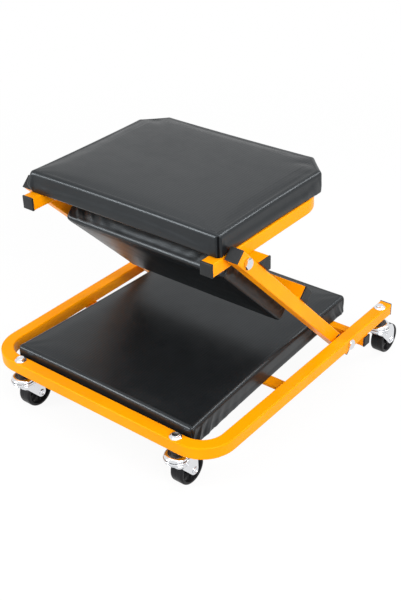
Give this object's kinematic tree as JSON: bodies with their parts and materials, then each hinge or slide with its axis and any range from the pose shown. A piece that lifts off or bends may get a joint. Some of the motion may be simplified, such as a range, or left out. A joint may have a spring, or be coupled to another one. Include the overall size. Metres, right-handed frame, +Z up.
{
  "type": "convertible creeper seat",
  "caption": "Low rolling workshop seat on a square-tube frame with vinyl pads; its leaning arms swing back to lay seat and pads out flat as a creeper bed.",
  "frame": {"origin": "on the floor, at the middle of the footprint in plan", "axes": "+Z up, +Y from the closed front bar to the open rear ends, +X to the right of someone facing +Y"},
  "size_m": [0.458, 0.513, 0.3754],
  "materials": {
    "orange_paint": "semi-gloss powder coat",
    "black_vinyl": "semi-gloss grained vinyl over foam",
    "plywood": "raw plywood",
    "black_plastic": "matte moulded plastic",
    "zinc": "bright zinc plate",
    "chrome": "polished plate",
    "black_steel": "black oxide",
    "bearing_steel": "polished",
    "wheel_black": "moulded, slightly glossy"
  },
  "bodies": {
    "base": {"base_frame": "orange_paint", "base_rail_caps": "black_plastic", "base_stop_bar": "orange_paint", "base_stop_bar_caps": "black_plastic", "base_front_strip": "orange_paint", "lower_pad": "black_vinyl", "lower_pad_board": "plywood", "lower_pad_screws": "zinc", "lower_pivot_bolts": "zinc", "lower_pivot_nuts": "zinc", "lower_pivot_washers": "black_plastic", "base_caster_bolts": "zinc", "base_caster_nuts": "black_steel", "base_caster_dishes": "chrome", "base_caster_balls": "bearing_steel"},
    "arms": {"arm_left": "orange_paint", "arm_right": "orange_paint", "arm_top_caps": "black_plastic", "arm_tail_caps": "black_plastic", "carrier_bar": "orange_paint", "carrier_bar_caps": "black_plastic", "middle_pad": "black_vinyl", "middle_pad_board": "plywood", "middle_pad_screws": "zinc"},
    "seat": {"seat_frame": "orange_paint", "seat_frame_caps": "black_plastic", "seat_stop_bar": "orange_paint", "seat_stop_bar_caps": "black_plastic", "seat_pad": "black_vinyl", "seat_pad_board": "plywood", "seat_pad_screws": "zinc", "upper_pivot_bolts": "zinc", "upper_pivot_nuts": "zinc", "upper_pivot_washers": "black_plastic", "head_caster_bolts": "zinc", "head_caster_nuts": "black_steel", "head_caster_dishes": "chrome", "head_caster_balls": "bearing_steel", "head_caster_inserts": "zinc"},
    "front_left_swivel": {"front_left_fork": "chrome", "front_left_axle": "zinc"},
    "front_left_rolling": {"front_left_wheel": "wheel_black"},
    "front_right_swivel": {"front_right_fork": "chrome", "front_right_axle": "zinc"},
    "front_right_rolling": {"front_right_wheel": "wheel_black"},
    "rear_left_swivel": {"rear_left_fork": "chrome", "rear_left_axle": "zinc"},
    "rear_left_rolling": {"rear_left_wheel": "wheel_black"},
    "rear_right_swivel": {"rear_right_fork": "chrome", "rear_right_axle": "zinc"},
    "rear_right_rolling": {"rear_right_wheel": "wheel_black"},
    "head_left_swivel": {"head_left_fork": "chrome", "head_left_axle": "zinc"},
    "head_left_rolling": {"head_left_wheel": "wheel_black"},
    "head_right_swivel": {"head_right_fork": "chrome", "head_right_axle": "zinc"},
    "head_right_rolling": {"head_right_wheel": "wheel_black"}
  },
  "joints": [
    {"name": "fold", "type": "hinge", "parent": "base", "child": "arms", "pos_m": [0, 0.1055, 0.0823], "axis": [-1, 0, 0], "range_deg": [0, 133.8]},
    {"name": "seat_level", "type": "hinge", "parent": "arms", "child": "seat", "pos_m": [0, -0.13052, 0.32842], "axis": [1, 0, 0], "range_deg": [0, 133.8]},
    {"name": "front_left_turn", "type": "hinge", "parent": "base", "child": "front_left_swivel", "pos_m": [-0.153, -0.2375, 0.072], "axis": [0, 0, 1], "continuous": true},
    {"name": "front_left_spin", "type": "hinge", "parent": "front_left_swivel", "child": "front_left_rolling", "pos_m": [-0.153, -0.2165, 0.025], "axis": [1, 0, 0], "continuous": true},
    {"name": "front_right_turn", "type": "hinge", "parent": "base", "child": "front_right_swivel", "pos_m": [0.153, -0.2375, 0.072], "axis": [0, 0, 1], "continuous": true},
    {"name": "front_right_spin", "type": "hinge", "parent": "front_right_swivel", "child": "front_right_rolling", "pos_m": [0.153, -0.2165, 0.025], "axis": [1, 0, 0], "continuous": true},
    {"name": "rear_left_turn", "type": "hinge", "parent": "base", "child": "rear_left_swivel", "pos_m": [-0.21, 0.2105, 0.072], "axis": [0, 0, 1], "continuous": true},
    {"name": "rear_left_spin", "type": "hinge", "parent": "rear_left_swivel", "child": "rear_left_rolling", "pos_m": [-0.21, 0.2315, 0.025], "axis": [1, 0, 0], "continuous": true},
    {"name": "rear_right_turn", "type": "hinge", "parent": "base", "child": "rear_right_swivel", "pos_m": [0.21, 0.2105, 0.072], "axis": [0, 0, 1], "continuous": true},
    {"name": "rear_right_spin", "type": "hinge", "parent": "rear_right_swivel", "child": "rear_right_rolling", "pos_m": [0.21, 0.2315, 0.025], "axis": [1, 0, 0], "continuous": true},
    {"name": "head_left_turn", "type": "hinge", "parent": "seat", "child": "head_left_swivel", "pos_m": [-0.05, 0.09048, 0.31842], "axis": [0, 0, 1], "continuous": true},
    {"name": "head_left_spin", "type": "hinge", "parent": "head_left_swivel", "child": "head_left_rolling", "pos_m": [-0.05, 0.11148, 0.27142], "axis": [1, 0, 0], "continuous": true},
    {"name": "head_right_turn", "type": "hinge", "parent": "seat", "child": "head_right_swivel", "pos_m": [0.05, 0.09048, 0.31842], "axis": [0, 0, 1], "continuous": true},
    {"name": "head_right_spin", "type": "hinge", "parent": "head_right_swivel", "child": "head_right_rolling", "pos_m": [0.05, 0.11148, 0.27142], "axis": [1, 0, 0], "continuous": true}
  ],
  "couplings": [
    {"joint": "seat_level", "follows": "fold", "ratio": 1}
  ]
}
